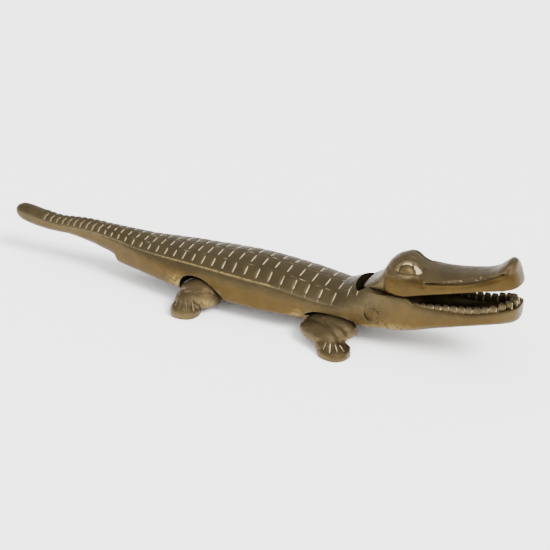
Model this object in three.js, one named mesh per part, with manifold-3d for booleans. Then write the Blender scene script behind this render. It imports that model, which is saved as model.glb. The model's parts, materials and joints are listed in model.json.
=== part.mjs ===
// A crocodile nutcracker in cast brass, made of two castings that cross like pliers on one pin.
// The back casting is the lower jaw, neck, hollow scaled back and tail. The leg casting is the
// head, a tongue that goes down through the neck, a belly plate and four legs. Lifting the tail
// turns the back casting about the pin and lowers its jaw. Millimetres, +X to the snout, +Z up,
// standing on its feet at z = 0, with the origin under the middle of its length.
import * as THREE from 'three';
import { mergeVertices } from 'three/addons/utils/BufferGeometryUtils.js';
import Module from 'manifold-3d';

const wasm = await Module();
wasm.setup();

// Driving dimensions
const TAIL_TIP = -150;
const JAW_TIP = 150;
const WALL = 3;                       // thickness of the hollow back and neck
const GAP = 0.35;                     // clearance between neighbouring pieces
const HEEL = 6;                       // half width of the rib from the tongue down to the plate
const BEYOND = 30;                    // how far a cut across the casting runs each way, past its sides

const PIN = { x: 78.8, z: 19.7, radius: 3, headRadius: 4, headDepth: 1.2, halfLength: 14.9 };
const TONGUE = { halfWidth: 10.4, hubRadius: 9, front: 98, rearTaper: 7 };
const SLOT = { halfWidth: 11.2, rear: 65.5, front: 89.4, taper: 6 };
const CAVITY = { rear: -68, front: 76, roof: 3.2 };
const TROUGH = { rear: 86, front: 147.5, rim: 2.2, floor: 3.2 };
const PLATE = { rear: -42, front: 66, halfWidth: 12, taper: 9, bottom: 5.6, top: 9.2 };
const SOLE = 4.2;                     // thickness of a foot at its toes

// Outlines of the back casting, as a height or half width at a place along it
const crest = curve([[-150, 31.4], [-142, 31.4], [-132, 29.8], [-120, 28.6], [-104, 29.9], [-80, 29.5],
  [-60, 28.8], [-30, 30.3], [4, 31.9], [30, 30.6], [50, 28], [64, 27.8], [80, 39], [110, 36], [152, 44]]);
const keel = curve([[-150, 24], [-140, 21], [-126, 18.9], [-112, 19.2], [-90, 17.2], [-78.5, 16],
  [-75, 11.6], [-56, 10.8], [-34, 9], [10, 7.4], [44, 8.6], [80, 10.4], [94, 11], [113, 16.9],
  [131, 22.6], [152, 28]]);
const beam = curve([[-150, 4.5], [-140, 5.3], [-120, 5.2], [-104, 6], [-80, 7.8], [-56, 13.2], [-36, 16.8],
  [10, 18.3], [50, 17.4], [80, 15.1], [96, 14.2], [116, 12.8], [134, 11], [145, 9.6], [152, 7.6]]);
const waist = curve([[-150, 27.5], [-140, 26], [-122, 24], [-100, 24.6], [-80, 22], [-56, 18], [-20, 15.5],
  [20, 15], [60, 16], [90, 21], [110, 26], [134, 31], [152, 36]]);
const keelSquareness = curve([[-150, 2], [-90, 2.2], [-72, 4], [-20, 7], [60, 6], [90, 3.6], [152, 3]]);
const rim = curve([[64, 27.9], [72, 29], [82, 30.9], [95.5, 31.8], [99, 29.4], [119, 29.6], [131, 30.8],
  [139, 33.2], [146, 35.8], [153, 38.6]]);
const CREST_ROUNDNESS = 2.2;

// Outlines of the head
const HEAD = { rear: 70.8, tip: 149.6, palateRear: 97, palateFront: 147, palateRim: 2.6, palateDepth: 3.4 };
const brow = curve([[70.8, 31.6], [76, 35], [79.5, 38], [82, 42], [85.5, 46.8], [90, 50.2], [94, 51.2],
  [98.5, 49.6], [103, 47.2], [115, 47.6], [131, 50.4], [138, 53.6], [142, 57], [146, 58], [148.6, 55.6],
  [150, 51]]);
const cheek = curve([[70.8, 29.6], [77, 31.2], [85, 31.9], [95, 32.8], [100, 34.3], [120, 39.7], [134, 43.5],
  [144, 45.8], [151.7, 48]]);
const headBeam = curve([[70.8, 5.5], [74, 9.2], [79, 11], [86, 12.2], [93, 13], [107, 12.2], [120, 11.4],
  [134, 10.6], [144, 9.8], [151.7, 7.4]]);
const EYE = { x: 94.2, y: 9.4, z: 45.6, length: 5, width: 2.8, height: 3.2 };

// Outlines of the arches in the sides of the back, over the legs
const HIND_ARCH = [[-32.5, 13.5], [-31, 16.6], [-27.9, 18.8], [-22.2, 19.8], [-16, 18.6], [-11.5, 15.6],
  [-7.6, 12.6], [-3.8, 9.4]];
const FRONT_ARCH = [[41, 9], [43.6, 13.2], [46.5, 14.9], [51.5, 15.6], [59.6, 15.5], [67.5, 14.1],
  [75, 11.2]];

// Legs: the centres and radii of their lumps, and the outline of each sole, for the left side
const LIMB_BOTTOM = 4.6;
const LIMB_INSIDE = 10;
const HIND_LEG = {
  limb: [[[-20.6, 15.8, 8.6], [12.4, 9.4, 9.2]]],
  ankle: [[[-27, 22.6, 5.6], [6, 5.6, 5.4]]],
  foot: [[-31.5, 20], [-32, 26], [-28.6, 30.6], [-24, 31.2], [-20, 29.2], [-17.8, 25], [-18.5, 19]],
};
const FRONT_LEG = {
  limb: [[[57.5, 16.4, 8], [14.4, 8.4, 5.9]], [[49.5, 21.8, 7], [8.6, 6, 6]]],
  ankle: [[[57, 25.6, 4.6], [6.6, 5.4, 4.4]]],
  foot: [[51.5, 24], [55, 29], [58.4, 33], [62, 35.2], [66.4, 34.6], [69.6, 31], [70, 26], [67, 21],
    [58, 18]],
};

// A smooth curve through a few [place, value] points, read off at any place along it
function curve(points) {
  const slope = (i) => {
    const before = points[Math.max(i - 1, 0)];
    const after = points[Math.min(i + 1, points.length - 1)];
    return (after[1] - before[1]) / (after[0] - before[0]);
  };
  return (place) => {
    let i = points.findIndex((point) => point[0] > place) - 1;
    if (i === -2) i = points.length - 2;
    i = Math.max(i, 0);
    const [x0, v0] = points[i];
    const [x1, v1] = points[i + 1];
    const run = x1 - x0;
    const t = Math.min(Math.max((place - x0) / run, 0), 1);
    const rise = (1 + 2 * t) * (1 - t) ** 2 * v0 + t * t * (3 - 2 * t) * v1;
    return rise + run * t * (1 - t) * ((1 - t) * slope(i) - t * slope(i + 1));
  };
}

// A rounded end: 0 at the tip, growing to 1 at one radius from it
function roundEnd(distance, radius, power = 2) {
  const inward = 1 - Math.min(Math.max(distance / radius, 0), 1);
  return (1 - inward ** power) ** (1 / power);
}

// A signed power, which turns a circle's sine and cosine into a rounder or squarer section
function bend(value, squareness) {
  return Math.abs(value) < 1e-6 ? 0 : Math.sign(value) * Math.abs(value) ** (2 / squareness);
}

// A closed skin from rear to front. The section gives [y, z] for a cosine and sine, and its
// middle for 0 and 0. Stations crowd towards both ends, where the shape turns fastest.
function loft(rear, front, along, around, section) {
  const skin = new THREE.CylinderGeometry(1, 1, 1, around, along);
  const corner = skin.attributes.position;
  for (let i = 0; i < corner.count; i += 1) {
    const t = 0.5 - 0.5 * Math.cos(Math.PI * (corner.getY(i) + 0.5));
    const x = rear + (front - rear) * t;
    const [y, z] = section(x, corner.getZ(i), corner.getX(i));
    corner.setXYZ(i, x, y, z);
  }
  return solid(skin);
}

// A flat outline in the X-Z plane, pushed across from one side to the other
function across(outline, right, left) {
  const depth = left - right;
  const slab = new THREE.ExtrudeGeometry(outline, { depth, bevelEnabled: false, curveSegments: 10 });
  slab.rotateX(Math.PI / 2);
  slab.translate(0, left, 0);
  return solid(slab);
}

// A flat outline in the X-Y plane, raised from the bottom to the top
function upright(outline, bottom, top) {
  const depth = top - bottom;
  const slab = new THREE.ExtrudeGeometry(outline, { depth, bevelEnabled: false, curveSegments: 8 });
  slab.translate(0, 0, bottom);
  return solid(slab);
}

// A tongue shape seen from above: square in front and half an ellipse behind
function plan(rear, front, halfWidth, taper) {
  const outline = new THREE.Shape();
  outline.moveTo(front, -halfWidth);
  outline.lineTo(front, halfWidth);
  outline.lineTo(rear + taper, halfWidth);
  outline.absellipse(rear + taper, 0, taper, halfWidth, Math.PI / 2, 1.5 * Math.PI);
  return outline;
}

function ellipsoid([x, y, z], [length, width, height]) {
  const ball = new THREE.SphereGeometry(1, 16, 9);
  ball.scale(length, width, height);
  ball.translate(x, y, z);
  return solid(ball);
}

function outlineOf(points, smooth = []) {
  const outline = new THREE.Shape();
  outline.moveTo(...(smooth[0] ?? points[0]));
  if (smooth.length) outline.splineThru(smooth.slice(1).map((point) => new THREE.Vector2(...point)));
  points.slice(smooth.length ? 0 : 1).forEach((point) => outline.lineTo(...point));
  return outline;
}

function solid(geometry) {
  geometry.deleteAttribute('normal');
  geometry.deleteAttribute('uv');
  const welded = mergeVertices(geometry, 1e-4);
  const vertProperties = welded.attributes.position.array;
  const triVerts = new Uint32Array(welded.index.array);
  return new wasm.Manifold(new wasm.Mesh({ numProp: 3, vertProperties, triVerts }));
}

function mesh(name, shape, material) {
  const faces = shape.getMesh();
  const geometry = new THREE.BufferGeometry();
  geometry.setAttribute('position', new THREE.BufferAttribute(faces.vertProperties, 3));
  geometry.setIndex(new THREE.BufferAttribute(faces.triVerts, 1));
  geometry.computeVertexNormals();
  const piece = new THREE.Mesh(geometry, material);
  piece.name = name;
  return piece;
}

// A turned profile about the pin's axis, with the given clearance all round
function turnedOnPin(clearance) {
  const { x, z, radius, headRadius, headDepth, halfLength } = PIN;
  const shank = radius + clearance;
  const head = headRadius + clearance;
  const end = halfLength + (clearance ? 4 : 0);
  const neck = halfLength - headDepth - clearance;
  const profile = [[0, -end], [head, -end], [head, -neck - 0.4], [shank, -neck + 0.6], [shank, neck - 0.6],
    [head, neck + 0.4], [head, end], [0, end]].map((point) => new THREE.Vector2(...point));
  const turned = new THREE.LatheGeometry(profile, 28);
  turned.translate(x, 0, z);
  return solid(turned);
}

// The hollow back with the neck walls, lower jaw and tail
function backCasting() {
  const backSection = (x, cosine, sine) => {
    const tail = roundEnd(x - TAIL_TIP, 5.5);
    const chin = roundEnd(JAW_TIP - x, 9, 2.4);
    const width = beam(x) * Math.max(tail, 0.12) * Math.max(chin, 0.12);
    const height = (sine > 0 ? crest(x) : keel(x)) - waist(x);
    const squareness = sine > 0 ? CREST_ROUNDNESS : keelSquareness(x);
    const lift = Math.abs(height) * Math.max(tail, 0.12) * (0.6 + 0.4 * chin);
    return [width * bend(cosine, squareness), waist(x) + lift * bend(sine, squareness)];
  };
  const outside = loft(TAIL_TIP, JAW_TIP, 46, 20, backSection);

  // The hollow under the back is open below and runs forward into the slot for the tongue
  const hollow = loft(CAVITY.rear, CAVITY.front, 14, 16, (x, cosine, sine) => {
    const width = (beam(x) - WALL) * Math.max(roundEnd(x - CAVITY.rear, 14), 0.2);
    const roof = crest(Math.min(x, 56)) - CAVITY.roof - waist(x);
    const depth = sine > 0 ? roof : waist(x) + 4;
    const squareness = sine > 0 ? CREST_ROUNDNESS : 12;
    return [width * bend(cosine, squareness), waist(x) + depth * bend(sine, squareness)];
  });

  const slot = upright(plan(SLOT.rear, SLOT.front, SLOT.halfWidth, SLOT.taper), 0, 50);

  const trough = loft(TROUGH.rear, TROUGH.front, 14, 16, (x, cosine, sine) => {
    const width = (beam(x) - TROUGH.rim) * Math.max(roundEnd(TROUGH.front - x, 8, 2.4), 0.12);
    const floor = keel(Math.max(x, 92)) + TROUGH.floor;
    const middle = rim(x) - 1;
    const depth = sine > 0 ? 12 : middle - floor;
    return [width * bend(cosine, 3.2), middle + depth * bend(sine, 3.2)];
  });

  // Everything above the rim of the neck and lower jaw is open
  const rimPoints = [66, 72, 77, 82, 88, 92, 95.5, 99, 104, 112, 119, 125, 131, 135, 139, 146, 153].map(
    (x) => [x, rim(x)]);
  const mouth = across(outlineOf([[165, 42], [165, 60], [66, 60]], rimPoints), -BEYOND, BEYOND);

  let casting = outside.subtract(hollow).subtract(slot).subtract(trough).subtract(mouth);
  [HIND_ARCH, FRONT_ARCH].forEach((arch) => {
    const [rear, front] = [arch[0][0], arch.at(-1)[0]];
    const outline = outlineOf([[front + 1, -2], [rear - 1, -2]], arch);
    casting = casting.subtract(across(outline, -BEYOND, BEYOND));
  });
  return casting.subtract(turnedOnPin(GAP));
}

// The head, domed over the skull and squared at the nostrils, with a hollow palate
function head() {
  const skull = loft(HEAD.rear, HEAD.tip, 30, 18, (x, cosine, sine) => {
    const nose = Math.max(roundEnd(HEAD.tip - x, 6, 2.4), 0.35);
    const middle = cheek(x) + 0.22 * (brow(x) - cheek(x));
    const top = sine > 0 ? brow(x) - middle : middle - cheek(x);
    const squareness = sine > 0 ? 2.4 : 5;
    return [headBeam(x) * nose * bend(cosine, squareness), middle + top * bend(sine, squareness)];
  });
  const palate = loft(HEAD.palateRear, HEAD.palateFront, 12, 16, (x, cosine, sine) => {
    const width = (headBeam(x) - HEAD.palateRim) * Math.max(roundEnd(HEAD.palateFront - x, 7), 0.15);
    const depth = sine > 0 ? HEAD.palateDepth : 5;
    return [width * bend(cosine, 2.6), cheek(x) + depth * bend(sine, 2.6)];
  });
  const eyeSize = [EYE.length, EYE.width, EYE.height];
  const eyes = [-1, 1].map((side) => ellipsoid([EYE.x, side * EYE.y, EYE.z], eyeSize));
  return skull.add(eyes[0]).add(eyes[1]).subtract(palate);
}

// The tongue hangs from the head, carries the pin and runs back into the belly plate
function tongue() {
  const { x, z } = PIN;
  const radius = TONGUE.hubRadius;
  const outline = new THREE.Shape();
  outline.moveTo(74, 36);
  outline.lineTo(97, 36);
  outline.lineTo(96, 31);
  outline.lineTo(x + radius, z + 3);
  outline.absarc(x, z, radius, 0.1, -0.5 * Math.PI, true);
  outline.lineTo(PLATE.front, PLATE.bottom);
  outline.lineTo(PLATE.front - 8, PLATE.bottom);
  outline.lineTo(PLATE.front - 8, PLATE.top);
  outline.lineTo(x - radius - 1, z - 5);
  outline.lineTo(x - radius, z + 6);
  outline.lineTo(72, 31.5);
  const rounded = plan(x - radius, TONGUE.front, TONGUE.halfWidth, TONGUE.rearTaper);
  const hanger = across(outline, -TONGUE.halfWidth, TONGUE.halfWidth).intersect(upright(rounded, 0, 50));
  return hanger.add(across(outline, -HEEL, HEEL));
}

function bellyPlate() {
  return upright(plan(PLATE.rear, PLATE.front, PLATE.halfWidth, PLATE.taper), PLATE.bottom, PLATE.top);
}

// A leg is a rounded limb under the arch, cut off level below and upright inside, with an ankle
// and a foot that reaches outwards on its flat sole. Side is -1 or 1.
function leg(side, { limb, ankle, foot }) {
  const rim = [...foot, foot[0]].map(([x, y]) => new THREE.Vector2(x, side * y));
  const outline = new THREE.Shape();
  outline.moveTo(rim[0].x, rim[0].y);
  outline.splineThru(rim.slice(1));
  const lumps = (list) => list.map(([[x, y, z], size]) => ellipsoid([x, side * y, z], size));
  const hollow = new THREE.BoxGeometry(400, 2 * LIMB_INSIDE, 80);
  const upper = wasm.Manifold.union(lumps(limb)).subtract(belowLevel(LIMB_BOTTOM)).subtract(solid(hollow));
  return wasm.Manifold.union([upper, upright(outline, 0, SOLE), ...lumps(ankle)]).subtract(belowLevel(0));
}

function belowLevel(height) {
  const block = new THREE.BoxGeometry(400, 100, 20);
  block.translate(0, 0, height - 10);
  return solid(block);
}

function legCasting() {
  let casting = head().add(tongue()).add(bellyPlate());
  [-1, 1].forEach((side) => {
    casting = casting.add(leg(side, HIND_LEG)).add(leg(side, FRONT_LEG));
  });
  return casting.subtract(turnedOnPin(GAP).intersect(ellipsoid([PIN.x, 0, PIN.z], [20, 12.8, 20])));
}

const backBrass = new THREE.MeshStandardMaterial({ color: 0x6b5a3a, roughness: 0.42, metalness: 1 });
const legBrass = new THREE.MeshStandardMaterial({ color: 0x6f5e40, roughness: 0.42, metalness: 1 });
const pinBrass = new THREE.MeshStandardMaterial({ color: 0x8a7448, roughness: 0.4, metalness: 1 });

const nutcracker = new THREE.Group();
nutcracker.add(mesh('back_jaw_and_tail_casting', backCasting(), backBrass));
nutcracker.add(mesh('head_and_legs_casting', legCasting(), legBrass));
nutcracker.add(mesh('pivot_pin', turnedOnPin(0), pinBrass));

export default nutcracker;
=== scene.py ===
# A crocodile nutcracker in cast brass: two castings that cross like pliers on one peened pin.
# Shapes are worked out in millimetres and brought down to metres as each piece is finished.
import json
from math import cos, exp, hypot, pi, radians, sin

import bmesh
import bpy
from mathutils import Matrix, Vector, noise
from mathutils.geometry import intersect_point_line


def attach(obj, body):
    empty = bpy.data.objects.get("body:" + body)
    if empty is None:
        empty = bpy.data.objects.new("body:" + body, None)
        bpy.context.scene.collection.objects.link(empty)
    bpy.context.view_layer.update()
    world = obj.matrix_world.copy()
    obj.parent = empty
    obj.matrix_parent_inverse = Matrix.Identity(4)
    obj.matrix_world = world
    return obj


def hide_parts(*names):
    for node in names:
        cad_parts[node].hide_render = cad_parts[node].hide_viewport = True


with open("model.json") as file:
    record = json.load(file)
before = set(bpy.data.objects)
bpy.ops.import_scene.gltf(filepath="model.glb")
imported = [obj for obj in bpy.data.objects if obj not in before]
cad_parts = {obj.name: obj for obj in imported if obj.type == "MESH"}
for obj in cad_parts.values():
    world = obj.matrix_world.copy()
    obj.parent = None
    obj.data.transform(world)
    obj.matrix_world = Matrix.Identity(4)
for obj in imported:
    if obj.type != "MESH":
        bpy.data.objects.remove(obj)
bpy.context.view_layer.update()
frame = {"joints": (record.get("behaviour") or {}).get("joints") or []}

MM = 0.001

# ---------------------------------------------------------------------------------------------
# The view: a long lens from the animal's right, in front and above, over a pale table top. Soft
# light comes through a tent from ahead and as a wide fill, and one window glints on the brass.

camera_data = bpy.data.cameras.new("view")
camera_data.lens = 85.09
camera_data.sensor_width = 36
camera = bpy.data.objects.new("view", camera_data)
camera.location = (0.2877, -0.5552, 0.3430)
camera.rotation_euler = (radians(90 - 27.5), 0, radians(26))
bpy.context.collection.objects.link(camera)
bpy.context.scene.camera = camera

LIGHTS = (
    ("tent", 9, 24, False, (12, 44)),
    ("fill", 4, 120, False, (20, 0)),
    ("window", 1.3, 40, True, (25, 35)),
)
for name, energy, spread, glossy, tilt in LIGHTS:
    light_data = bpy.data.lights.new(name, "SUN")
    light_data.energy = energy
    light_data.angle = radians(spread)
    light_data.color = (1, 0.99, 0.97)
    light = bpy.data.objects.new(name, light_data)
    light.rotation_euler = (radians(tilt[0]), radians(tilt[1]), 0)
    light.visible_glossy = glossy
    bpy.context.collection.objects.link(light)

world = bpy.data.worlds.new("pale_room")
world.use_nodes = True
world_nodes, world_links = world.node_tree.nodes, world.node_tree.links
height_seen = world_nodes.new("ShaderNodeSeparateXYZ")
world_links.new(world_nodes.new("ShaderNodeTexCoord").outputs["Generated"], height_seen.inputs["Vector"])
sky = world_nodes.new("ShaderNodeValToRGB")
horizon, overhead = sky.color_ramp.elements
horizon.position, horizon.color = 0.05, (0.5, 0.5, 0.505, 1)
overhead.position, overhead.color = 0.6, (0.36, 0.36, 0.365, 1)
world_links.new(height_seen.outputs["Z"], sky.inputs["Fac"])
world_links.new(sky.outputs["Color"], world_nodes["Background"].inputs["Color"])
world_nodes["Background"].inputs["Strength"].default_value = 2.3
bpy.context.scene.world = world

table_mesh = bmesh.new()
bmesh.ops.create_grid(table_mesh, x_segments=2, y_segments=2, size=6)
table_data = bpy.data.meshes.new("table_top")
table_mesh.to_mesh(table_data)
table_top = bpy.data.objects.new("table_top", table_data)
bpy.context.collection.objects.link(table_top)
table_paint = bpy.data.materials.new("table_paint")
table_paint.use_nodes = True
table_shader = table_paint.node_tree.nodes["Principled BSDF"]
table_shader.inputs["Base Color"].default_value = (0.93, 0.93, 0.93, 1)
table_shader.inputs["Roughness"].default_value = 0.6
table_data.materials.append(table_paint)

# ---------------------------------------------------------------------------------------------
# The back: one brass casting with the tail, the hollow scaled back, the neck walls and the
# lower jaw. The scales are chased into its top as rings of short gouges between long lines,
# and old polish has stayed white in them. It is open below and slotted at the neck.


def through(points):
    """A smooth curve through a few (place, value) points, read off at any place."""
    slopes = []
    for i in range(len(points)):
        before, after = points[max(i - 1, 0)], points[min(i + 1, len(points) - 1)]
        slopes.append((after[1] - before[1]) / (after[0] - before[0]))

    def value(place):
        i = 0
        while i < len(points) - 2 and place > points[i + 1][0]:
            i += 1
        (x0, v0), (x1, v1) = points[i], points[i + 1]
        run = x1 - x0
        t = min(max((place - x0) / run, 0), 1)
        level = (1 + 2 * t) * (1 - t) ** 2 * v0 + t * t * (3 - 2 * t) * v1
        return level + run * t * (1 - t) * ((1 - t) * slopes[i] - t * slopes[i + 1])

    return value


def ease(value, low, high):
    """0 below low, 1 above high, and a smooth step between. High may be the lower one."""
    t = min(max((value - low) / (high - low), 0), 1)
    return t * t * (3 - 2 * t)


def bend(value, squareness):
    """A signed power that makes a circle's sine and cosine into a rounder or squarer section."""
    if abs(value) < 1e-6:
        return 0
    return (1 if value > 0 else -1) * abs(value) ** (2 / squareness)


def round_end(distance, radius, power=2):
    """A rounded end: 0 at the tip, growing to 1 at one radius from it."""
    inward = 1 - min(max(distance / radius, 0), 1)
    return (1 - inward**power) ** (1 / power)


def hump(distance, width):
    """A soft hump, 1 in the middle and nearly 0 at twice its width."""
    return exp(-((distance / width) ** 2))


# Heights and half widths along the length, which runs from -150 at the tail's end: the line of the
# spine, the lowest line, the half width, and the height at which it is widest
crest = through([(-150, 31.4), (-142, 31.4), (-132, 29.8), (-120, 28.6), (-104, 29.9), (-80, 29.5),
                 (-60, 28.8), (-30, 30.3), (4, 31.9), (30, 30.6), (50, 27.9), (56, 27.2),
                 (60, 28.4), (64, 30.4), (68, 32.8), (73, 37), (78, 46), (84, 60)])
keel = through([(-150, 23.2), (-140, 20.2), (-126, 18.8), (-112, 19.2), (-98, 17.2), (-90, 15.4),
                (-80.5, 13.2), (-78.9, 11.2), (-56, 10.5), (-34, 9), (10, 7.4), (44, 8.6), (80, 10.4),
                (94, 11), (113, 16.9), (131, 22.2), (151, 27.8)])
beam = through([(-150, 4.5), (-140, 5.3), (-120, 5.2), (-104, 6), (-80, 7.8), (-56, 13.2),
                (-36, 16.8), (10, 18.3), (50, 17.4), (80, 15.1), (96, 14.2), (116, 12.8),
                (134, 11), (145, 9.6), (150, 8.2)])
waist = through([(-150, 27.5), (-140, 26), (-122, 24), (-100, 24.6), (-80, 22), (-56, 18),
                 (-20, 15.5), (20, 15), (60, 16), (90, 19.5), (110, 23), (134, 28), (150, 33)])
keel_squareness = through([(-150, 2), (-90, 2.4), (-80, 3.5), (-77, 7), (-20, 7), (60, 6), (90, 3.6),
                           (150, 3)])

# The rim of the collar and jaw, the jaw's floor, and how far out its inner edge is
rim = through([(64, 34.6), (68, 33.8), (75, 32.6), (82, 31.7), (94.5, 31.7), (97, 31), (100, 29.3),
               (112, 29), (124, 29.4), (131, 30.4), (139, 32.6), (146, 34.8), (151, 36)])
jaw_floor = through([(86, 15), (100, 17.5), (120, 23), (138, 29), (145.5, 32), (148.7, 35),
                     (151, 36)])
inner_edge = through([(60, 0.6), (90, 0.6), (97, 0.8), (120, 0.79), (140, 0.76), (151, 0.66)])

# The angle from the spine, in degrees, down to which the scales reach
armour_edge = through([(-134, 78), (-100, 74), (-75, 64), (-54, 54), (-33, 52), (-14, 54.5), (5, 58),
                       (23, 59), (41, 63), (50, 65.5), (60, 66), (151, 66)])
TAIL_TIP, JAW_TIP = -150, 151.7
COLLAR_REAR, SCALES_END, CREST_END, MOUTH_REAR, MOUTH_OPEN, JAW_REAR = 66, 72, 84, 82, 89.4, 92
PIN_X, PIN_Z = (1000 * frame["joints"][0]["pos_m"][i] for i in (0, 2))

# The rings of scales: how far apart they are, where each one is, and half the width of its gouges
pitch = through([(-131, 3.4), (-124, 4), (-100, 4.2), (-80, 4.5), (-66, 5.4), (-35, 5.9), (-10, 6.4),
                 (10, 7), (57, 7.5)])
rings = [57.2]
while rings[-1] > -127.5:
    rings.append(rings[-1] - pitch(rings[-1]))
rings.reverse()
rings += [64.2, 69.5]
GOUGE = through([(-131, 0.34), (-60, 0.4), (0, 0.48), (64, 0.45)])

# Up the outside of the jaw, in degrees above its side: where its rounded rim and its flat land end
RIM_ROUND, RIM_LAND = 16, 26
BACK_SQUARENESS, JAW_SQUARENESS = 2.2, 3.4


def back_outline(x, phi):
    """Half width and height at an angle from the spine, before the chasing."""
    width, widest = beam(x), waist(x)
    tail = max(round_end(x - TAIL_TIP, 5.5, 2.3), 0.03)
    chin = max(round_end(JAW_TIP - x, 4.8, 2.8), 0.03)
    width *= tail * chin
    t = radians(90 - phi)
    if phi > 90:
        square = keel_squareness(x)
        height = widest - (widest - keel(x)) * tail * (0.6 + 0.4 * chin) * bend(-sin(t), square)
        return width * bend(cos(t), square), height
    opened = ease(x, MOUTH_REAR, MOUTH_OPEN)
    side, height = 0, 0
    if opened < 1:
        side = width * bend(cos(t), BACK_SQUARENESS)
        height = widest + (crest(min(x, CREST_END)) - widest) * tail * bend(sin(t), BACK_SQUARENESS)
        if x > COLLAR_REAR:
            height = min(height, rim(x))
    if opened > 0:
        land = rim(x)
        inner = inner_edge(x)
        up = 90 - phi
        if up <= RIM_ROUND:
            part = radians(90 * up / RIM_ROUND)
            jaw_side = width * (1 - 0.085 * (1 - cos(part)) - 0.015 * up / RIM_ROUND)
            jaw_height = widest + (land - widest) * sin(part) ** 0.8
        elif up <= RIM_LAND:
            part = (up - RIM_ROUND) / (RIM_LAND - RIM_ROUND)
            jaw_side = width * (0.9 + (inner - 0.9) * part)
            jaw_height = land + 0.25 * sin(pi * part) * (1 - part)
        else:
            part = radians(90 * (up - RIM_LAND) / (90 - RIM_LAND))
            jaw_side = width * inner * bend(cos(part), JAW_SQUARENESS)
            jaw_height = land - (land - min(jaw_floor(x), land - 0.5)) * bend(sin(part), JAW_SQUARENESS)
        side = side * (1 - opened) + jaw_side * opened
        height = height * (1 - opened) + jaw_height * opened
    return side, height


# Round the body a place is q: 0 at the long line on the spine, COLUMN at the next long line, ARMOUR
# at the edge of the scales and UNDER at the bottom
COLUMN, ARMOUR, UNDER = 29, 58, 180


def chasing(x, ring_x, q, side):
    """The relief at a place on the armour: how far it stands out, and how much white it holds."""
    i = min(range(len(rings)), key=lambda k: abs(rings[k] - ring_x))
    off = (ring_x - rings[i]) / GOUGE(rings[i])
    tail = ease(x, -84, -96)
    stands, white = 0, 0
    column = min(int(q / COLUMN), 1)
    across = (q - COLUMN * column) / (COLUMN / 2) - 1
    if tail > 0.5:
        column, across = 0, (q - 32) / COLUMN
    luck = 0.5 + 0.5 * noise.noise(Vector((i * 3.7, column * 5.1, side * 2.3)))
    reach = 0.88 - 0.24 * luck * (1 - tail)
    if i < len(rings) - 2 and q < 64:
        stroke = max(1 - abs((across + 0.06) / reach) ** 3.5, 0)
        if -75 < x < -35 and q > 56:
            stroke = max(stroke, 0.6 * hump(q - 61.5, 1.8))
        if x > 26:
            stroke = max(stroke, 0.35 * ease(q, 63.8, 62) * ease(q, 52, 56))
        heavy = 0.45 + 0.55 * luck
        stands -= (0.2 + 0.3 * heavy) * stroke * hump(off, 0.8 + 0.5 * heavy)
        stands -= 0.09 * hump(off, 0.8)
        white = min(1, 1.6 * stroke) * hump(off, 0.4 + 0.42 * heavy * stroke * (1 - 0.6 * tail))
        between = abs(off) * GOUGE(rings[i]) / pitch(rings[i])
        stands += (0.12 + 0.16 * tail) * sin(pi * min(between, 1))
    elif i >= len(rings) - 2:
        stroke = hump(q - 30, 17) if i == len(rings) - 2 else hump(q - 40, 8)
        stands -= 0.26 * stroke * hump(off, 0.8)
        white = 0.85 * stroke * hump(off, 0.65)
    spread = ease(x, -134, -131) * ease(x, 72, 70.5)
    if q < 40:
        line = min(q, abs(q - COLUMN) + 30 * tail)
        stands -= 0.13 * hump(line, 0.8) * ease(x, -140, -132) * ease(x, 64, 56)
        stands += 0.1 * hump(line - 2.4, 1.1) * spread * ease(x, 64, 56)
        white = max(white, 0.7 * hump(line, 0.7) * (0.5 + noise.noise(Vector((x * 0.2, 0, q)))))
    bead = ease(x, -64, -50) * ease(x, 29, 22)
    rim_spread = ease(x, -110, -90) * ease(x, 60, 52)
    stands += (0.1 + 0.36 * bead) * hump(q - 58.3, 1.2) * rim_spread
    stands += 0.2 * ease(q, 57.5, 55.5) * rim_spread
    stands -= 0.16 * hump(q - 62, 1.7) * rim_spread
    return stands, white * spread


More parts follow.
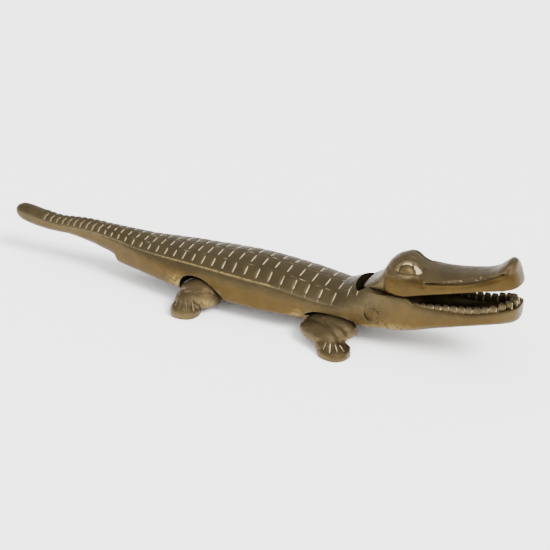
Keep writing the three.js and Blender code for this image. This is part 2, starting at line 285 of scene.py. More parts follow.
def back_point(x, q, side):
    """A point of the casting's outside with its marks: white, worn bright with painted highlights, and
    golden.
    """
    edge = armour_edge(x)
    if q < ARMOUR:
        phi = q * edge / ARMOUR
    else:
        phi = edge + (q - ARMOUR) * (UNDER - edge) / (UNDER - ARMOUR)
    ring_x = x
    bowed = ease(x, -136, -128) * ease(x, 76, 70) * ease(q, 80, 62)
    across = (q % COLUMN) / (COLUMN / 2) - 1
    x += bowed * (0.3 * (1 - across**2) + 0.5 - 1.1 * q / ARMOUR)
    width, height = back_outline(x, phi)
    middle = waist(x)
    reach = max(hypot(width, height - middle), 0.01)
    stands, white = chasing(x, ring_x, q, side)
    if x > SCALES_END:
        stands, white = 0, 0
    place = Vector((x, side * width, height))
    stands += 0.16 * noise.noise(place * 0.11) + 0.07 * noise.noise(place * 0.35)
    stands *= ease(x, TAIL_TIP, TAIL_TIP + 4) * ease(x, JAW_TIP, JAW_TIP - 3)
    factor = 1 + stands / max(reach, 2)
    place.y *= factor
    place.z = middle + (height - middle) * factor
    bead = ease(x, -54, -36) * ease(x, 26, 20) * hump(q - 58.3, 1.3)
    # The rear corners of the arches: rubbed, with a highlight painted on them as well.
    rear_corners = hump(hypot(x + 34.5, height - 13), 4.5) + hump(hypot(x - 38, height - 9.6), 3.5)
    # Along the jaw's lower edge: a rubbed patch and a painted highlight.
    chin = hump(hypot((x - 88) / 4.2, height - 12.5 - 0.12 * (x - 80)), 3)
    worn_and_highlit = bead + 0.9 * rear_corners + 0.75 * chin
    gold = ease(phi, edge - 2, edge + 34) * (1 - 0.6 * ease(x, 138, 148))
    if x > JAW_REAR:
        # A highlight painted along the rounded rim of the jaw.
        worn_and_highlit += 0.9 * hump(90 - phi - 17.5, 3) * ease(x, 92, 99)
        white += hump(90 - phi - 27, 3) * ease(noise.noise(place * 0.8), -0.2, 0.4)
    around_pin = hypot(x - PIN_X, height - PIN_Z)
    pitted = hump(around_pin - 5, 2) + 0.6 * hump(hypot((x - 70) / 3, height - 20), 3)
    return place, white, min(worn_and_highlit, 1), gold, min(pitted, 1)


MARKS = ("white", "worn_and_highlit", "gold", "pitted")


def mark_layers(bm):
    """The layers that hold a shape's marks, in the order of MARKS, made where they are missing."""
    layers = bm.verts.layers.float
    for name in MARKS:
        if name not in layers:
            layers.new(name)
    return [layers[name] for name in MARKS]


def skin(stations, turns, point):
    """A closed skin: a grid rolled up round its length, with the ends filled. Marks are kept."""
    bm = bmesh.new()
    bmesh.ops.create_grid(bm, x_segments=len(stations) - 1, y_segments=len(turns), size=1)
    marks = mark_layers(bm)
    for i, corner in enumerate(bm.verts):
        turn, station = divmod(i, len(stations))
        place, *amounts = point(stations[station], *turns[turn % len(turns)])
        corner.co = place
        for mark, amount in zip(marks, amounts):
            corner[mark] = amount
    bmesh.ops.remove_doubles(bm, verts=bm.verts, dist=1e-4)
    bmesh.ops.holes_fill(bm, edges=[edge for edge in bm.edges if edge.is_boundary], sides=0)
    bmesh.ops.recalc_face_normals(bm, faces=bm.faces)
    return bm


SHARP = radians(52)


def finished(name, bm, material):
    """Bring a shape down to metres and make it a smooth-shaded piece."""
    bmesh.ops.scale(bm, vec=(MM, MM, MM), verts=bm.verts)
    data = bpy.data.meshes.new(name)
    bm.to_mesh(data)
    bm.free()
    data.materials.append(material)
    data.shade_smooth()
    data.set_sharp_from_angle(angle=SHARP)
    piece = bpy.data.objects.new(name, data)
    bpy.context.collection.objects.link(piece)
    return piece


def applied(piece, modifier_type, **settings):
    """Add one modifier, apply it and take it off again."""
    modifier = piece.modifiers.new("shape", modifier_type)
    for key, value in settings.items():
        setattr(modifier, key, value)
    graph = bpy.context.evaluated_depsgraph_get()
    shaped = bpy.data.meshes.new_from_object(piece.evaluated_get(graph))
    piece.modifiers.clear()
    old, piece.data = piece.data, shaped
    shaped.name = old.name
    bpy.data.meshes.remove(old)


def cut_away(piece, bm):
    """Cut a closed shape, in millimetres, out of a piece."""
    bmesh.ops.recalc_face_normals(bm, faces=bm.faces)
    tool = finished("cutter", bm, piece.data.materials[0])
    applied(piece, "BOOLEAN", operation="DIFFERENCE", solver="MANIFOLD", object=tool)
    data = tool.data
    bpy.data.objects.remove(tool)
    bpy.data.meshes.remove(data)


def prism(outline, low, high, axis):
    """A flat outline pushed straight along Y (an X-Z outline) or Z (an X-Y outline)."""
    bm = bmesh.new()
    for a, b in outline:
        bm.verts.new((a, low, b) if axis == "Y" else (a, b, low))
    face = bm.faces.new(bm.verts)
    pushed = bmesh.ops.extrude_face_region(bm, geom=[face])
    moved = [item for item in pushed["geom"] if isinstance(item, bmesh.types.BMVert)]
    travel = (0, high - low, 0) if axis == "Y" else (0, 0, high - low)
    bmesh.ops.translate(bm, vec=travel, verts=moved)
    return bm


# The white of dried polish, also used for a highlight painted above each eyeball.
POLISH_WHITE_AND_GLINT = (0.27, 0.222, 0.135)


def aged_brass(name, dark, golden, bright, pits=0.5):
    """Old cast brass: a dark skin on top, golden below, bright where rubbed and at painted highlights,
    white in the cuts and in a painted highlight by each eye.
    """
    material = bpy.data.materials.new(name)
    material.use_nodes = True
    nodes, links = material.node_tree.nodes, material.node_tree.links
    shader = nodes["Principled BSDF"]
    where = nodes.new("ShaderNodeTexCoord").outputs["Object"]

    def cloud(scale, detail=3.0, rough=0.55):
        texture = nodes.new("ShaderNodeTexNoise")
        texture.inputs["Scale"].default_value = scale
        texture.inputs["Detail"].default_value = detail
        texture.inputs["Roughness"].default_value = rough
        links.new(where, texture.inputs["Vector"])
        return texture.outputs["Fac"]

    def between(value, low, high, to_low=0.0, to_high=1.0):
        node = nodes.new("ShaderNodeMapRange")
        links.new(value, node.inputs["Value"])
        node.inputs["From Min"].default_value = low
        node.inputs["From Max"].default_value = high
        node.inputs["To Min"].default_value = to_low
        node.inputs["To Max"].default_value = to_high
        return node.outputs["Result"]

    def maths(operation, first, second):
        node = nodes.new("ShaderNodeMath")
        node.operation = operation
        node.use_clamp = True
        for socket, value in zip(node.inputs, (first, second)):
            if isinstance(value, float):
                socket.default_value = value
            else:
                links.new(value, socket)
        return node.outputs["Value"]

    def mix(amount, first, second):
        node = nodes.new("ShaderNodeMix")
        node.data_type = "RGBA"
        links.new(amount, node.inputs["Factor"])
        for socket, value in ((node.inputs["A"], first), (node.inputs["B"], second)):
            if isinstance(value, tuple):
                socket.default_value = (*value, 1)
            else:
                links.new(value, socket)
        return node.outputs["Result"]

    def mark(name):
        node = nodes.new("ShaderNodeAttribute")
        node.attribute_name = name
        return node.outputs["Fac"]

    blotches = cloud(95, 4)
    grain = cloud(900, 5, 0.65)
    dull = tuple(part * 0.74 for part in dark)
    skin_tone = mix(between(blotches, 0.35, 0.68), dull, dark)
    gilt_tone = mix(between(blotches, 0.3, 0.7), tuple(part * 0.72 for part in golden), golden)
    gilding = maths("ADD", mark("gold"), between(blotches, 0.3, 0.75, -0.12, 0.16))
    body = mix(gilding, skin_tone, gilt_tone)
    # Bright where the brass is rubbed, and where a highlight is painted on its edges.
    rubbed_and_highlit = maths("MULTIPLY", mark("worn_and_highlit"), between(cloud(520, 4), 0.36, 0.58))
    metal = mix(rubbed_and_highlit, body, bright)
    metal = mix(between(grain, 0.56, 0.74, 0.0, 0.35), metal, tuple(part * 0.45 for part in dark))
    specks = maths("MULTIPLY", mark("pitted"), between(cloud(1500, 2, 0.6), 0.57, 0.62))
    metal = mix(specks, metal, tuple(part * 0.25 for part in dark))
    # White where polish has dried in the cuts, and a painted highlight above each eyeball.
    polish_and_glint = maths("MULTIPLY", mark("white"), between(cloud(420, 3), 0.25, 0.5, 0.55, 1.0))
    polish_and_glint = between(polish_and_glint, 0.28, 0.62)
    links.new(mix(polish_and_glint, metal, POLISH_WHITE_AND_GLINT), shader.inputs["Base Color"])
    links.new(between(polish_and_glint, 0, 1, 0.92, 0.0), shader.inputs["Metallic"])
    rough = maths("ADD", between(cloud(240, 4), 0.3, 0.7, 0.36, 0.5), between(polish_and_glint, 0, 1, 0.0, 0.4))
    links.new(maths("SUBTRACT", rough, between(rubbed_and_highlit, 0, 1, 0.0, 0.08)), shader.inputs["Roughness"])
    bump = nodes.new("ShaderNodeBump")
    bump.inputs["Strength"].default_value = pits
    bump.inputs["Distance"].default_value = 0.0002
    links.new(maths("ADD", grain, between(cloud(2600, 2), 0.3, 0.7, 0.0, 0.3)), bump.inputs["Height"])
    links.new(bump.outputs["Normal"], shader.inputs["Normal"])
    return material


DARK, GOLDEN, BRIGHT = (0.106, 0.081, 0.041), (0.079, 0.049, 0.014), (0.25, 0.175, 0.058)
back_brass = aged_brass("aged_brass_back", DARK, GOLDEN, BRIGHT)

# Stations along the length crowd at each gouge, and lines round it crowd at each long line
TAIL_ROUND, JAW_ROUND_START = 3, 146
stations = [TAIL_TIP + TAIL_ROUND * (1 - cos(pi * k / 14)) for k in range(9)]
stations += [stations[-1] + k for k in range(1, 40) if stations[-1] + k < rings[0] - 1.2]
for here, after in zip(rings, rings[1:] + [rings[-1] + 5]):
    half = GOUGE(here)
    stations += [here + half * step for step in (-1.5, -0.9, -0.45, 0, 0.45, 0.9, 1.5)]
    gap_start, gap_end = here + 1.5 * half, after - 1.5 * GOUGE(after)
    gap_steps = max(2, round((gap_end - gap_start) / 1.1))
    stations += [gap_start + (gap_end - gap_start) * k / gap_steps for k in range(1, gap_steps)]
start = stations[-1]
stations += [start + (JAW_ROUND_START - start) * k / 84 for k in range(1, 85)]
stations += [JAW_ROUND_START + (JAW_TIP - JAW_ROUND_START) * sin(pi / 2 * k / 12) for k in range(1, 13)]

lines = [0, 1.2, 2.5, 5, 9, 14.5, 20, 24, 26.5, 27.8, 29, 30.2, 31.5, 34, 38, 43.5, 49, 53, 55.3, 56.6,
         58, 59.4, 60.8, 62.5, 64.2, 66, 68, 70, 72, 74, 76, 78.5, 82, 86, 90, 95, 101, 108, 115, 122,
         129, 136, 143, 150, 157, 164, 171, 180]
round_turns = [(q, -1) for q in lines] + [(q, 1) for q in reversed(lines[1:-1])]

back = finished("scaled_back_and_lower_jaw", skin(stations, round_turns, back_point), back_brass)

# The hollow under the back, from the tail root to the neck
WALL, ROOF = 3, 3.2
HOLLOW_REAR, HOLLOW_LENGTH, ROOF_END = -68, 144, 56
OPEN_SIDES = 12


def hollow_point(x, angle):
    """A point of the hollow: rounded under the roof, and straight down through the open bottom."""
    width = (beam(x) - WALL) * max(round_end(x - HOLLOW_REAR, 14), 0.2)
    if sin(angle) > 0:
        square, rise = BACK_SQUARENESS, crest(min(x, ROOF_END)) - ROOF - waist(x)
    else:
        square, rise = OPEN_SIDES, waist(x) + 4
    return (Vector((x, width * bend(cos(angle), square), waist(x) + bend(sin(angle), square) * rise)),)


hollow_stations = [HOLLOW_REAR + HOLLOW_LENGTH * (0.5 - 0.5 * cos(pi * k / 40)) for k in range(41)]
cut_away(back, skin(hollow_stations, [(2 * pi * k / 40,) for k in range(40)], hollow_point))

# The slot through the neck that the tongue moves in, rounded behind
SLOT_HALF, SLOT_REAR, SLOT_TAPER = 11.2, 65.5, 4.5


def plan_outline(rear, front, half_width, taper):
    """A tongue shape seen from above, square in front and half an ellipse behind."""
    outline = [(front, -half_width), (front, half_width)]
    for k in range(17):
        angle = pi / 2 + pi * k / 16
        outline.append((rear + taper * (1 + cos(angle)), half_width * sin(angle)))
    return outline


cut_away(back, prism(plan_outline(SLOT_REAR, MOUTH_OPEN, SLOT_HALF, SLOT_TAPER), 0, 50, "Z"))

# An arch in each side over every leg, cut straight across
HIND_ARCH = [(-32.5, 13.5), (-31.6, 15.8), (-30, 17.8), (-27.9, 18.9), (-25, 19.6), (-22.2, 19.7),
             (-19, 19.3), (-16, 18.3), (-11.5, 15.5), (-7.6, 12.6), (-3.8, 9.4), (-3, -2), (-33.5, -2)]
FRONT_ARCH = [(38.6, 8), (40, 10.3), (41.8, 12.2), (44, 13.7), (46.5, 14.8), (49, 15.4), (53, 15.7),
              (59.6, 15.5), (64, 14.9), (68.5, 13.8), (72, 12.6), (76, 11.1), (80, 10.2), (81, -2),
              (37, -2)]
for arch in (HIND_ARCH, FRONT_ARCH):
    cut_away(back, prism(arch, -30, 30, "Y"))

# The hole for the pin, opened out at each side to take its peened end
PIN_SHANK, PIN_END, PIN_NECK = 3, 4, 13.4
THROUGH_ALL = 18


def turned_pin(clearance, reach):
    """The pin's shape, or its hole's: a shank with a wider end at each side."""
    bm = bmesh.new()
    shank, end, neck = PIN_SHANK + clearance, PIN_END + clearance, PIN_NECK - clearance
    profile = [(0, -reach), (end, -reach), (end, -neck - 0.3), (shank, -neck + 0.7),
               (shank, neck - 0.7), (end, neck + 0.3), (end, reach), (0, reach)]
    corners = [bm.verts.new((radius, along, 0)) for radius, along in profile]
    edges = [bm.edges.new(pair) for pair in zip(corners, corners[1:])]
    bmesh.ops.spin(bm, geom=corners + edges, cent=(0, 0, 0), axis=(0, 1, 0), angle=2 * pi, steps=48,
                   use_merge=True)
    bmesh.ops.remove_doubles(bm, verts=bm.verts, dist=1e-4)
    bmesh.ops.recalc_face_normals(bm, faces=bm.faces)
    bmesh.ops.translate(bm, vec=(PIN_X, 0, PIN_Z), verts=bm.verts)
    return bm


cut_away(back, turned_pin(0.03, THROUGH_ALL))
back.data.shade_smooth()
back.data.set_sharp_from_angle(angle=SHARP)
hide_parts("back_jaw_and_tail_casting")
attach(back, "back_jaw_and_tail")

# ---------------------------------------------------------------------------------------------
# The lower teeth: blunt pegs cast in one with the jaw, in a row just inside its rim and round
# its front. Polish has dried white between them.

TOOTH_GAP, TOOTH_HALF_LENGTH, TOOTH_HALF_WIDTH, TOOTH_ROOT = 3.9, 1.88, 1.1, 2.2
TOOTH_TOP = through([(98, 30), (104.9, 30.4), (113.3, 31.3), (122.1, 32.2), (133.8, 34), (141.3, 36.4),
                     (145.5, 38.2), (148, 38.8)])
row = [100.6 + TOOTH_GAP * k for k in range(11)]
tooth_places = [(x, inner_edge(x) * beam(x)) for x in row] + [(143.6, 6.4), (146.4, 4.6), (148, 1.6)]
teeth_shape = bmesh.new()
white_mark = mark_layers(teeth_shape)[0]
for place_x, place_y in tooth_places:
    for side in (-1, 1):
        top = TOOTH_TOP(place_x) + 0.25 * noise.noise(Vector((place_x, side * 3, 0)))
        foot = min(rim(place_x), top - 2) - TOOTH_ROOT
        made = bmesh.ops.create_uvsphere(teeth_shape, u_segments=14, v_segments=10, radius=1)
        for corner in made["verts"]:
            along, out, up = corner.co
            square = (abs(along) ** 5 + abs(out) ** 4 + abs(up) ** 5) ** (-1 / 5)
            along, out, up = along * square, out * square, up * square
            between_teeth = ease(abs(along), 0.78, 0.97) * ease(up, 1, 0.8)
            chip = 0.5 + 0.5 * noise.noise(Vector((place_x + along, side * 7, up * 2)))
            corner[white_mark] = between_teeth * chip * 1.3
            taper = 1 - 0.08 * max(up, 0)
            corner.co = (place_x + TOOTH_HALF_LENGTH * taper * along,
                         side * (place_y - 0.1 * up + TOOTH_HALF_WIDTH * taper * out),
                         foot + (top - foot) * (0.5 + 0.5 * up))
bmesh.ops.recalc_face_normals(teeth_shape, faces=teeth_shape.faces)
teeth = finished("lower_teeth", teeth_shape, back_brass)
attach(teeth, "back_jaw_and_tail")
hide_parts("back_jaw_and_tail_casting")

# ---------------------------------------------------------------------------------------------
# The head: the front of the second casting, with a domed skull, chased eyes and lips, a long
# snout and a hollow palate. Its neck goes down through the collar of the back.

HEAD_REAR, HEAD_TIP = 70.8, 151.2
MOUTH_CORNER, LIP_END = 103.5, 144
brow = through([(70.8, 31.6), (75, 34.6), (78, 37.6), (80.2, 41), (83, 46), (86.5, 49.3), (90, 51.1),
                (93, 51.7), (96, 50.8), (99, 48.7), (102.5, 47.3), (115, 47.3), (131, 50.2),
                (138, 53.4), (141.6, 56.8), (144.5, 58.6), (147.5, 59.2), (151.5, 59.3)])
cheek = through([(70.8, 30.2), (77, 31.3), (85, 31.9), (95, 32.8), (100, 34.3), (120, 39.7),
                 (134, 43.5), (144, 45.8), (151.7, 48)])
head_beam = through([(70.8, 7), (73, 9), (76, 10.1), (80, 10.5), (83, 10.9), (86, 12.1), (93, 13),
                     (107, 12.2), (120, 11.4), (134, 10.6), (144, 9.8), (151.7, 7.4)])
lip_top = through([(103.5, 42.1), (111, 43.8), (116.6, 45.3), (122, 46.8), (127.6, 48.3), (133, 50.1),
                   (137.1, 51.8), (140.4, 53.6), (142.7, 54.8)])
lip_foot = through([(103.5, 41.7), (110.2, 42.7), (117.1, 44), (122.7, 45.3), (128.3, 46.9),
                    (133.7, 49.1), (137.5, 51), (141.3, 53.1), (143.9, 54.6)])

# Round the head from its crown, in degrees: its widest line, the end of the cheek, and the flat lip
WIDEST, CHEEK_END, LIP_FLAT, PALATE_MIDDLE = 90, 125, 138, 180
PALATE_HALF, PALATE_SQUARENESS, PALATE_DEPTH = 0.76, 2.6, 3.4


def head_point(x, turn, side):
    """A point of the head's skin, going round from its crown to the middle of its palate."""
    nose = max(round_end(HEAD_TIP - x, 4, 2.5), 0.06)
    foot, crown = cheek(x), brow(x)
    crown = foot + (crown - foot) * (0.92 + 0.08 * round_end(HEAD_TIP - x, 1.4, 2.2))
    middle = foot + 0.22 * (crown - foot)
    width = head_beam(x) * nose
    if turn <= WIDEST:
        t = radians(WIDEST - turn)
        round_over = 2.4 - 0.38 * ease(x, 80, 88) * ease(x, 106, 98) + 0.2 * ease(x, 138, 147)
        y = width * bend(cos(t), round_over)
        z = middle + (crown - middle) * bend(sin(t), round_over)
    elif turn <= CHEEK_END:
        part = (turn - WIDEST) / (CHEEK_END - WIDEST)
        y = width * (1 - 0.05 * part**3)
        z = middle - (middle - foot) * sin(pi / 2 * part)
    elif turn <= LIP_FLAT:
        part = (turn - CHEEK_END) / (LIP_FLAT - CHEEK_END)
        y, z = width * (0.95 + (PALATE_HALF - 0.95) * part), foot
    else:
        part = radians(90 * (turn - LIP_FLAT) / (PALATE_MIDDLE - LIP_FLAT))
        depth = PALATE_DEPTH * ease(x, 97, 101) * ease(x, 147.6, 143)
        y = width * PALATE_HALF * bend(cos(part), PALATE_SQUARENESS)
        z = foot + depth * bend(sin(part), PALATE_SQUARENESS)
    place = Vector((x - 0.32 * max(z - 48, 0) * ease(x, 141, 150.5), side * y, z))
    low = lip_foot(x) if x > MOUTH_CORNER else 41.7 + 0.12 * (x - 90)
    gold = ease(z, low + 0.9, low - 0.6) * ease(x, 83, 84.6) * ease(turn, 128, 124)
    return place, 0, 0, gold, 0


FAR_STEP = 12


def away_from(path, place):
    """The distance from a place to a path of straight steps, leaving out the steps far from it."""
    best = 1000
    for start, end in zip(path, path[1:]):
        if min(abs(start.x - place.x), abs(end.x - place.x)) > FAR_STEP:
            continue
        nearest, part = intersect_point_line(place, start, end)
        if part < 0:
            nearest = start
        elif part > 1:
            nearest = end
        best = min(best, (place - nearest).length)
    return best


def carved(bm, cuts, more=None, flatten=1):
    """Press creases into a shape along paths (each with its width, depth and white), and let
    a further function say how much a place stands out and what it is marked with."""
    layers = mark_layers(bm)
    paths = [([Vector((x, y, z * flatten)) for x, y, z in path], *rest) for path, *rest in cuts]
    bm.normal_update()
    moves = []
    for corner in bm.verts:
        place = Vector((corner.co.x, abs(corner.co.y), corner.co.z))
        low_place = Vector((place.x, place.y, place.z * flatten))
        stands = 0
        marks = [corner[layer] for layer in layers]
        for path, width, depth, white in paths:
            away = away_from(path, low_place)
            if away < 2.4 * width:
                stands -= depth * hump(away, width)
                marks[0] = max(marks[0], white * hump(away, 0.75 * width))
        if more:
            stands, marks = more(place, corner.co.y, stands, marks)
        stands += 0.1 * noise.noise(corner.co * 0.2) + 0.05 * noise.noise(corner.co * 0.5)
        moves.append((corner, corner.normal * stands, marks))
    for corner, move, marks in moves:
        corner.co += move
        for layer, amount in zip(layers, marks):
            corner[layer] = min(max(amount, 0), 1)


EYE, EYE_HALF_LENGTH, EYE_HALF_HEIGHT = Vector((95.3, 8.8, 47.2)), 7, 3.5
EYE_ALONG, EYE_UP = Vector((0.955, -0.265, 0.13)), Vector((-0.2, -0.71, 0.67))


def head_marks(place, y, stands, marks):
    """The eyeball in its socket, the lips' long recess, and the cheek's edge."""
    from_eye = place - EYE
    if from_eye.length < 10:
        a, b = from_eye.dot(EYE_ALONG) / EYE_HALF_LENGTH, from_eye.dot(EYE_UP) / EYE_HALF_HEIGHT
        lids = abs(a) ** 1.7 + abs(b + 0.3 * a * a) ** 1.7
        ball = hypot((a + 0.12) / 0.62, (b + 0.36) / 0.98)
        stands -= 1.1 * ease(lids, 1.08, 0.75)
        if ball < 1:
            stands += 1.35 * (1 - ball**2.2) ** 0.5
        stands += (0.5 * hump(lids - 1.3, 0.22) + 0.42 * hump(lids - 2.1, 0.3)) * ease(b, -0.6, 0.1)
        inside = ease(lids, 0.98, 0.84) * ease(ball, 0.98, 1.08)
        front = ease(a, 0.36, 0.5) * ease(b, -0.8, -0.5)
        # A highlight painted white above the eyeball, under its upper lid.
        above = 0.8 * ease(b, 0.4, 0.54) * ease(abs(a + 0.12), 0.48, 0.34)
        behind = 0.45 * ease(a, -0.7, -0.8)
        marks[0] = max(marks[0], inside * max(front, above, behind))
        marks[1] = max(marks[1], 0.5 * ease(ball, 0.8, 0.2))
    if MOUTH_CORNER < place.x < LIP_END and place.z > 40:
        top, foot = lip_top(place.x), lip_foot(place.x)
        part = (place.z - foot) / max(top - foot, 0.3)
        if -0.05 < part < 1.05:
            stands -= 0.95 * sin(pi * min(max(part, 0), 1)) ** 0.6 * ease(place.x, MOUTH_CORNER, 107)
            chip = noise.noise(Vector((place.x * 1.7, y, place.z * 2.5)))
            fleck = ease(chip, 0.22, 0.45) * hump(part - 0.75, 0.3) * ease(place.x, 108, 114)
            marks[0] = max(marks[0], fleck)
        stands += 0.32 * hump(place.z - foot + 0.55, 0.5) * ease(place.x, MOUTH_CORNER, 108)
    cheek_edge = ease(place.x, 83, 84.4) * ease(place.x, 93, 86)
    stands += 0.45 * (cheek_edge * ease(place.z, 45, 42) * ease(place.z, 32.5, 33.5))
    marks[3] = max(marks[3], hump(hypot((place.x - 92) / 2, place.z - 39), 2.6))
    return stands, marks


# Creases cut in the head: over the eye, two below it, by the nostril, and down to the mouth's corner
head_cuts = [
    ([(87.2, 9.9, 44.4), (87.7, 7.6, 46.8), (89.2, 5.4, 48.9), (91.8, 4.3, 50.2), (94.6, 3.6, 50.7),
      (97.6, 3.2, 49.9), (100.5, 3.7, 48.2), (102.4, 5.2, 46.6), (103, 7, 45.6)], 0.75, 0.45, 0),
    ([(87.8, 12.1, 40.3), (88.6, 12, 42.2), (91.2, 12, 43.2)], 0.4, 0.3, 0.55),
    ([(93.8, 12.3, 43.6), (95.3, 12.8, 42)], 0.4, 0.25, 0.4),
    ([(142.6, 9, 54.2), (144.4, 8, 56), (145.6, 6.8, 57.6), (146.4, 5.4, 58.8)], 0.8, 0.5, 0.4),
    ([(100.9, 9.8, 44.8), (102.6, 10.8, 43.2), (103.8, 11.9, 41.8), (104.2, 12.3, 40.4)], 1.1, 0.4, 0),
]
head_stations = [HEAD_REAR + 0.46 * k for k in range(157)]
nose_start = head_stations[-1]
head_stations += [nose_start + (HEAD_TIP - nose_start) * sin(pi / 2 * k / 16) for k in range(1, 17)]
head_turns = [0]
for arc_end, steps in ((WIDEST, 52), (CHEEK_END, 14), (LIP_FLAT, 4), (PALATE_MIDDLE, 14)):
    arc_start = head_turns[-1]
    head_turns += [arc_start + (arc_end - arc_start) * k / steps for k in range(1, steps + 1)]
head_round = [(turn, -1) for turn in head_turns] + [(turn, 1) for turn in reversed(head_turns[1:-1])]
head_shape = skin(head_stations, head_round, head_point)
carved(head_shape, head_cuts, head_marks)
front_brass = aged_brass("aged_brass_head_and_legs", (0.122, 0.09, 0.045), GOLDEN, BRIGHT)
head = finished("head", head_shape, front_brass)
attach(head, "head_and_legs")
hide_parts("head_and_legs_casting")

# ---------------------------------------------------------------------------------------------
# The tongue and belly plate: the same casting goes on down from the head as a thick tongue
# that carries the pin, and back under the body as a plate between the legs.

TONGUE_HALF, HUB = 10.4, 9
PLATE_LOW, PLATE_TOP, PLATE_REAR, PLATE_HALF = 5.6, 9.2, -42, 12

hanger_outline = [(76, 31), (80, 33), (88.5, 36), (88.5, 27)]
for k in range(11):
    angle = 0.1 - (0.1 + pi / 2) * k / 10
    hanger_outline.append((PIN_X + HUB * cos(angle), PIN_Z + HUB * sin(angle)))
hanger_outline += [(66, PLATE_LOW), (58, PLATE_LOW), (58, PLATE_TOP), (PIN_X - HUB - 1, PIN_Z - 5),
                   (PIN_X - HUB, PIN_Z + 6), (72, 29.6)]
tongue_shape = prism(hanger_outline, -TONGUE_HALF, TONGUE_HALF, "Y")
hanger = finished("tongue_and_belly_plate", tongue_shape, front_brass)
tongue_plan = prism(plan_outline(PIN_X - HUB, 98, TONGUE_HALF, 7), 0, 50, "Z")
hanger_plan = finished("cutter", tongue_plan, front_brass)
applied(hanger, "BOOLEAN", operation="INTERSECT", solver="MANIFOLD", object=hanger_plan)
bpy.data.objects.remove(hanger_plan)
plate_shape = prism(plan_outline(PLATE_REAR, 66, PLATE_HALF, 9), PLATE_LOW, PLATE_TOP, "Z")
rib_shape = prism(hanger_outline, -6, 6, "Y")
for shape in (plate_shape, rib_shape):
    bmesh.ops.recalc_face_normals(shape, faces=shape.faces)
    part = finished("part", shape, front_brass)
    applied(hanger, "BOOLEAN", operation="UNION", solver="MANIFOLD", object=part)
    bpy.data.objects.remove(part)


def cast_smooth(piece, grain_size, passes):
    """Even a rough joined shape out as a casting's sand would, with one closed skin."""
    applied(piece, "REMESH", mode="VOXEL", voxel_size=grain_size * MM, adaptivity=0)
    applied(piece, "SMOOTH", factor=0.5, iterations=passes)


def in_millimetres(piece):
    """Take a piece's shape back into millimetres, with its marks, to work on it further."""
    bm = bmesh.new()
    bm.from_mesh(piece.data)
    bmesh.ops.scale(bm, vec=(1 / MM, 1 / MM, 1 / MM), verts=bm.verts)
    mark_layers(bm)
    data = piece.data
    bpy.data.objects.remove(piece)
    bpy.data.meshes.remove(data)
    return bm


cast_smooth(hanger, 0.6, 3)
hanger_shape = in_millimetres(hanger)


def cast_inside(place, y, stands, marks):
    """Unpolished casting: rougher, and a little golden where hands have not been."""
    stands += 0.25 * noise.noise(Vector((place.x, y, place.z)) * 0.5)
    return stands, [0, 0, 0.35 + 0.5 * noise.noise(place * 0.08), 0.5]


carved(hanger_shape, [], cast_inside)
hanger = finished("tongue_and_belly_plate", hanger_shape, front_brass)
cut_away(hanger, turned_pin(0.12, THROUGH_ALL))
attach(hanger, "head_and_legs")
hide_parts("head_and_legs_casting")

# ---------------------------------------------------------------------------------------------
# The legs: four short limbs of the same casting, bent under the arches, with folds of skin
# scored over them and flat feet with four white scores between the toes.

SOLE_TOP, SOLE_ROUND, FLAT_BELOW, LIMB_LOW, LIMB_INSIDE = 4.2, 1.1, 0.25, 4.6, 10
GRAIN, GRAIN_PASSES = 0.38, 26

# Each limb and ankle is a few rounded lumps: middle, half sizes, and degrees turned. Each foot is
# an outline from above, and each crease a path with its width, depth and white.
HIND_LIMB = [((-20.4, 15.8, 8.6), (11.8, 9.6, 9.3), 0)]
HIND_ANKLE = [((-25.4, 21.6, 5.6), (7.1, 7, 7), 0), ((-25.4, 25.4, 2.6), (7.8, 7, 5.6), 0)]
HIND_FOOT = [(-32.4, 20), (-33, 24), (-32.4, 27.6), (-30.4, 30.4), (-27, 31.6), (-23.6, 31.8),
             (-20.4, 30.6), (-18, 28), (-17, 24.6), (-18, 19)]
HIND_FOLDS = [
    ([(-31, 21.5, 11.2), (-27.9, 21.9, 12.6), (-22.5, 22.5, 14.8), (-18.2, 21.3, 15.7)], 0.55, 0.4, 0.1),
    ([(-30.5, 22.6, 10), (-27.2, 23.4, 11), (-23.2, 23.7, 13.3), (-19.3, 22.7, 14.7), (-17, 21.5, 15.2)],
     0.5, 0.4, 0.25),
    ([(-30.5, 23, 9.6), (-25.6, 24, 11), (-18.8, 23.7, 13.4), (-13.9, 21.2, 14), (-11.7, 19.5, 13.4)],
     0.65, 0.5, 0.15),
    ([(-30.2, 24.1, 9.7), (-26.2, 25.7, 9.7), (-23.9, 24.9, 9.5), (-21.2, 25.1, 8.7), (-18.9, 24.9, 7.2),
      (-16.7, 24.3, 6.2)], 0.6, 0.55, 0.3),
]
HIND_TOES = [
    ([(-29, 27.4, 6), (-28.6, 29, 4), (-28.3, 30.2, 2)], 0.5, 0.6, 0.9),
    ([(-25.9, 27.4, 6), (-25.2, 29.2, 4), (-24.7, 30.8, 2)], 0.5, 0.6, 0.9),
    ([(-23, 26.4, 6), (-22.2, 28, 4), (-21.2, 29.9, 2)], 0.5, 0.6, 1),
    ([(-20.2, 24.8, 5), (-19, 26.2, 4), (-18.4, 27, 2)], 0.5, 0.6, 0.8),
]

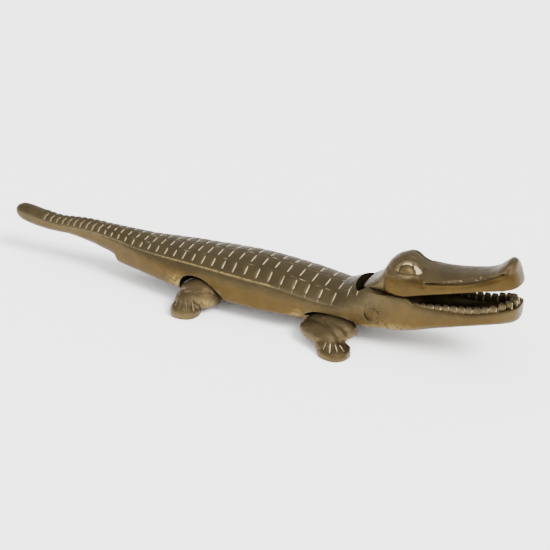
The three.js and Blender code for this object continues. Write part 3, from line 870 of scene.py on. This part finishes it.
FRONT_LIMB = [((57, 16, 7.8), (14.4, 8.4, 7.2), 0), ((53.4, 22.8, 6.2), (13, 6.8, 6.4), 22),
              ((58.5, 20.4, 7), (10.5, 5.4, 6.2), 12)]
FRONT_ANKLE = [((60, 27, 3.6), (8, 6.4, 4.8), 30), ((63.8, 28.8, 1.2), (9.2, 7.8, 5), 25)]
FRONT_FOOT = [(52.7, 24), (55.6, 29.4), (58.4, 33.6), (61.8, 36), (65.6, 36.3), (69, 35), (71.8, 32),
              (73, 28), (71.6, 23.6), (68, 21), (59, 18)]
FRONT_FOLDS = [
    ([(54.6, 19.8, 13.4), (55.8, 20.8, 12.8), (58.5, 22.4, 11.9), (62.1, 24, 9.4), (64.8, 23.5, 7.4)],
     0.7, 0.8, 0.5),
    ([(57.6, 29.4, 7.4), (58, 28.8, 7.9), (59.6, 26.8, 8.6), (62.8, 24.6, 8.4)], 0.5, 0.4, 0.45),
]
FRONT_TOES = [
    ([(61.2, 31.2, 5), (60.8, 32.6, 4), (60.5, 33.8, 2)], 0.5, 0.6, 0.85),
    ([(63.3, 30.8, 5), (63.8, 32.6, 4), (64.5, 34.8, 2)], 0.55, 0.65, 1),
    ([(65.7, 29.8, 5), (66.9, 31.4, 4), (68.3, 33.4, 2)], 0.5, 0.6, 0.95),
    ([(67.4, 27.6, 5), (69, 29, 4), (70.8, 30.4, 2)], 0.5, 0.6, 0.85),
]


def block(low_corner, high_corner):
    """A plain block between two corners, used only for cutting."""
    bm = bmesh.new()
    size = Vector(high_corner) - Vector(low_corner)
    bmesh.ops.create_cube(bm, size=1, matrix=Matrix.Diagonal((*size, 1)))
    bmesh.ops.translate(bm, vec=(Vector(low_corner) + Vector(high_corner)) / 2, verts=bm.verts)
    return bm


def lumps(bm, places):
    """Add rounded lumps, each with its middle, its half sizes and its turn about Z."""
    for centre, radii, turn in places:
        turned = Matrix.Rotation(radians(turn), 4, "Z")
        shape = Matrix.Translation(centre) @ turned @ Matrix.Diagonal((*radii, 1))
        bmesh.ops.create_uvsphere(bm, u_segments=40, v_segments=24, radius=1, matrix=shape)


def leg_pair(name, limb, ankle, foot, folds, toes, rubbed_and_highlit):
    """A leg on the animal's left, and its mirror image on the right."""
    upper = bmesh.new()
    lumps(upper, limb)
    piece = finished(name, upper, front_brass)
    applied(piece, "REMESH", mode="VOXEL", voxel_size=0.4 * MM, adaptivity=0)
    cut_away(piece, block((-100, -50, -10), (100, 50, LIMB_LOW)))
    cut_away(piece, block((-100, -LIMB_INSIDE, -10), (100, LIMB_INSIDE, 80)))
    lower = in_millimetres(piece)
    lumps(lower, ankle)
    slab = prism(foot, -1.5, SOLE_TOP, "Z")
    bmesh.ops.recalc_face_normals(slab, faces=slab.faces)
    top_rim = [edge for edge in slab.edges if min(end.co.z for end in edge.verts) > SOLE_TOP - 0.1]
    bmesh.ops.bevel(slab, geom=top_rim, offset=SOLE_ROUND, segments=4, profile=0.5, affect="EDGES",
                    material=-1)
    slab_data = bpy.data.meshes.new("slab")
    slab.to_mesh(slab_data)
    lower.from_mesh(slab_data)
    bpy.data.meshes.remove(slab_data)
    piece = finished(name, lower, front_brass)
    cast_smooth(piece, GRAIN, GRAIN_PASSES)
    cut_away(piece, block((-100, -50, -30), (100, 50, 0)))
    shape = in_millimetres(piece)

    def leg_marks(place, y, stands, marks):
        gold = 0.3 * ease(place.z + 3 * noise.noise(place * 0.15), 9, 4)
        gold += 0.3 * noise.noise(place * 0.12)
        worn_and_highlit = sum(amount * hump((place - Vector(spot)).length, reach) for spot, reach, amount in rubbed_and_highlit)
        flat = ease(place.z, 0.05, 0.4)
        return stands * flat, [marks[0] * flat, worn_and_highlit, gold, 0.3 * ease(worn_and_highlit, 0.2, 0.8)]

    carved(shape, folds, leg_marks, flatten=0.5)
    carved(shape, toes, flatten=0.1)
    for corner in shape.verts:
        if corner.co.z < FLAT_BELOW:
            corner.co.z = 0
    for side, side_name in ((1, "left"), (-1, "right")):
        one_leg = shape.copy()
        if side < 0:
            bmesh.ops.scale(one_leg, vec=(1, -1, 1), verts=one_leg.verts)
            bmesh.ops.reverse_faces(one_leg, faces=one_leg.faces)
        leg = finished(f"{side_name}_{name}", one_leg, front_brass)
        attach(leg, "head_and_legs")
        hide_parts("head_and_legs_casting")
    shape.free()


leg_pair("hind_leg", HIND_LIMB, HIND_ANKLE, HIND_FOOT, HIND_FOLDS, HIND_TOES,
         [((-13.5, 23.6, 9), 3, 0.7), ((-10.6, 21, 7), 2.4, 0.5)])
leg_pair("front_leg", FRONT_LIMB, FRONT_ANKLE, FRONT_FOOT, FRONT_FOLDS, FRONT_TOES,
         [((45, 26.5, 8), 3, 0.25)])

# ---------------------------------------------------------------------------------------------
# The pin: a brass rod through both neck walls and the tongue, hammered over at each side and
# filed down until it hardly shows.

PIN_REACH = 15.2


def on_end_rim(corner):
    """Whether a corner of the pin lies on the rim of one of its two ends."""
    return hypot(corner.co.x - PIN_X, corner.co.z - PIN_Z) > 3.9 and abs(corner.co.y) > 15


pin_shape = turned_pin(0, PIN_REACH)
end_rims = [edge for edge in pin_shape.edges if all(on_end_rim(corner) for corner in edge.verts)]
bmesh.ops.bevel(pin_shape, geom=end_rims, offset=0.08, segments=2, profile=0.5, affect="EDGES",
                material=-1)
bmesh.ops.triangulate(pin_shape, faces=[face for face in pin_shape.faces if len(face.verts) > 4])
gold_mark, pitted_mark = mark_layers(pin_shape)[2:]
for corner in pin_shape.verts:
    corner[gold_mark] = 0.72 - 0.05 * (corner.co.z - PIN_Z)
    corner[pitted_mark] = 0.9
pin_brass = aged_brass("peened_brass", DARK, GOLDEN, BRIGHT)
pin = finished("peened_pin", pin_shape, pin_brass)
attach(pin, "back_jaw_and_tail")
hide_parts("pivot_pin")
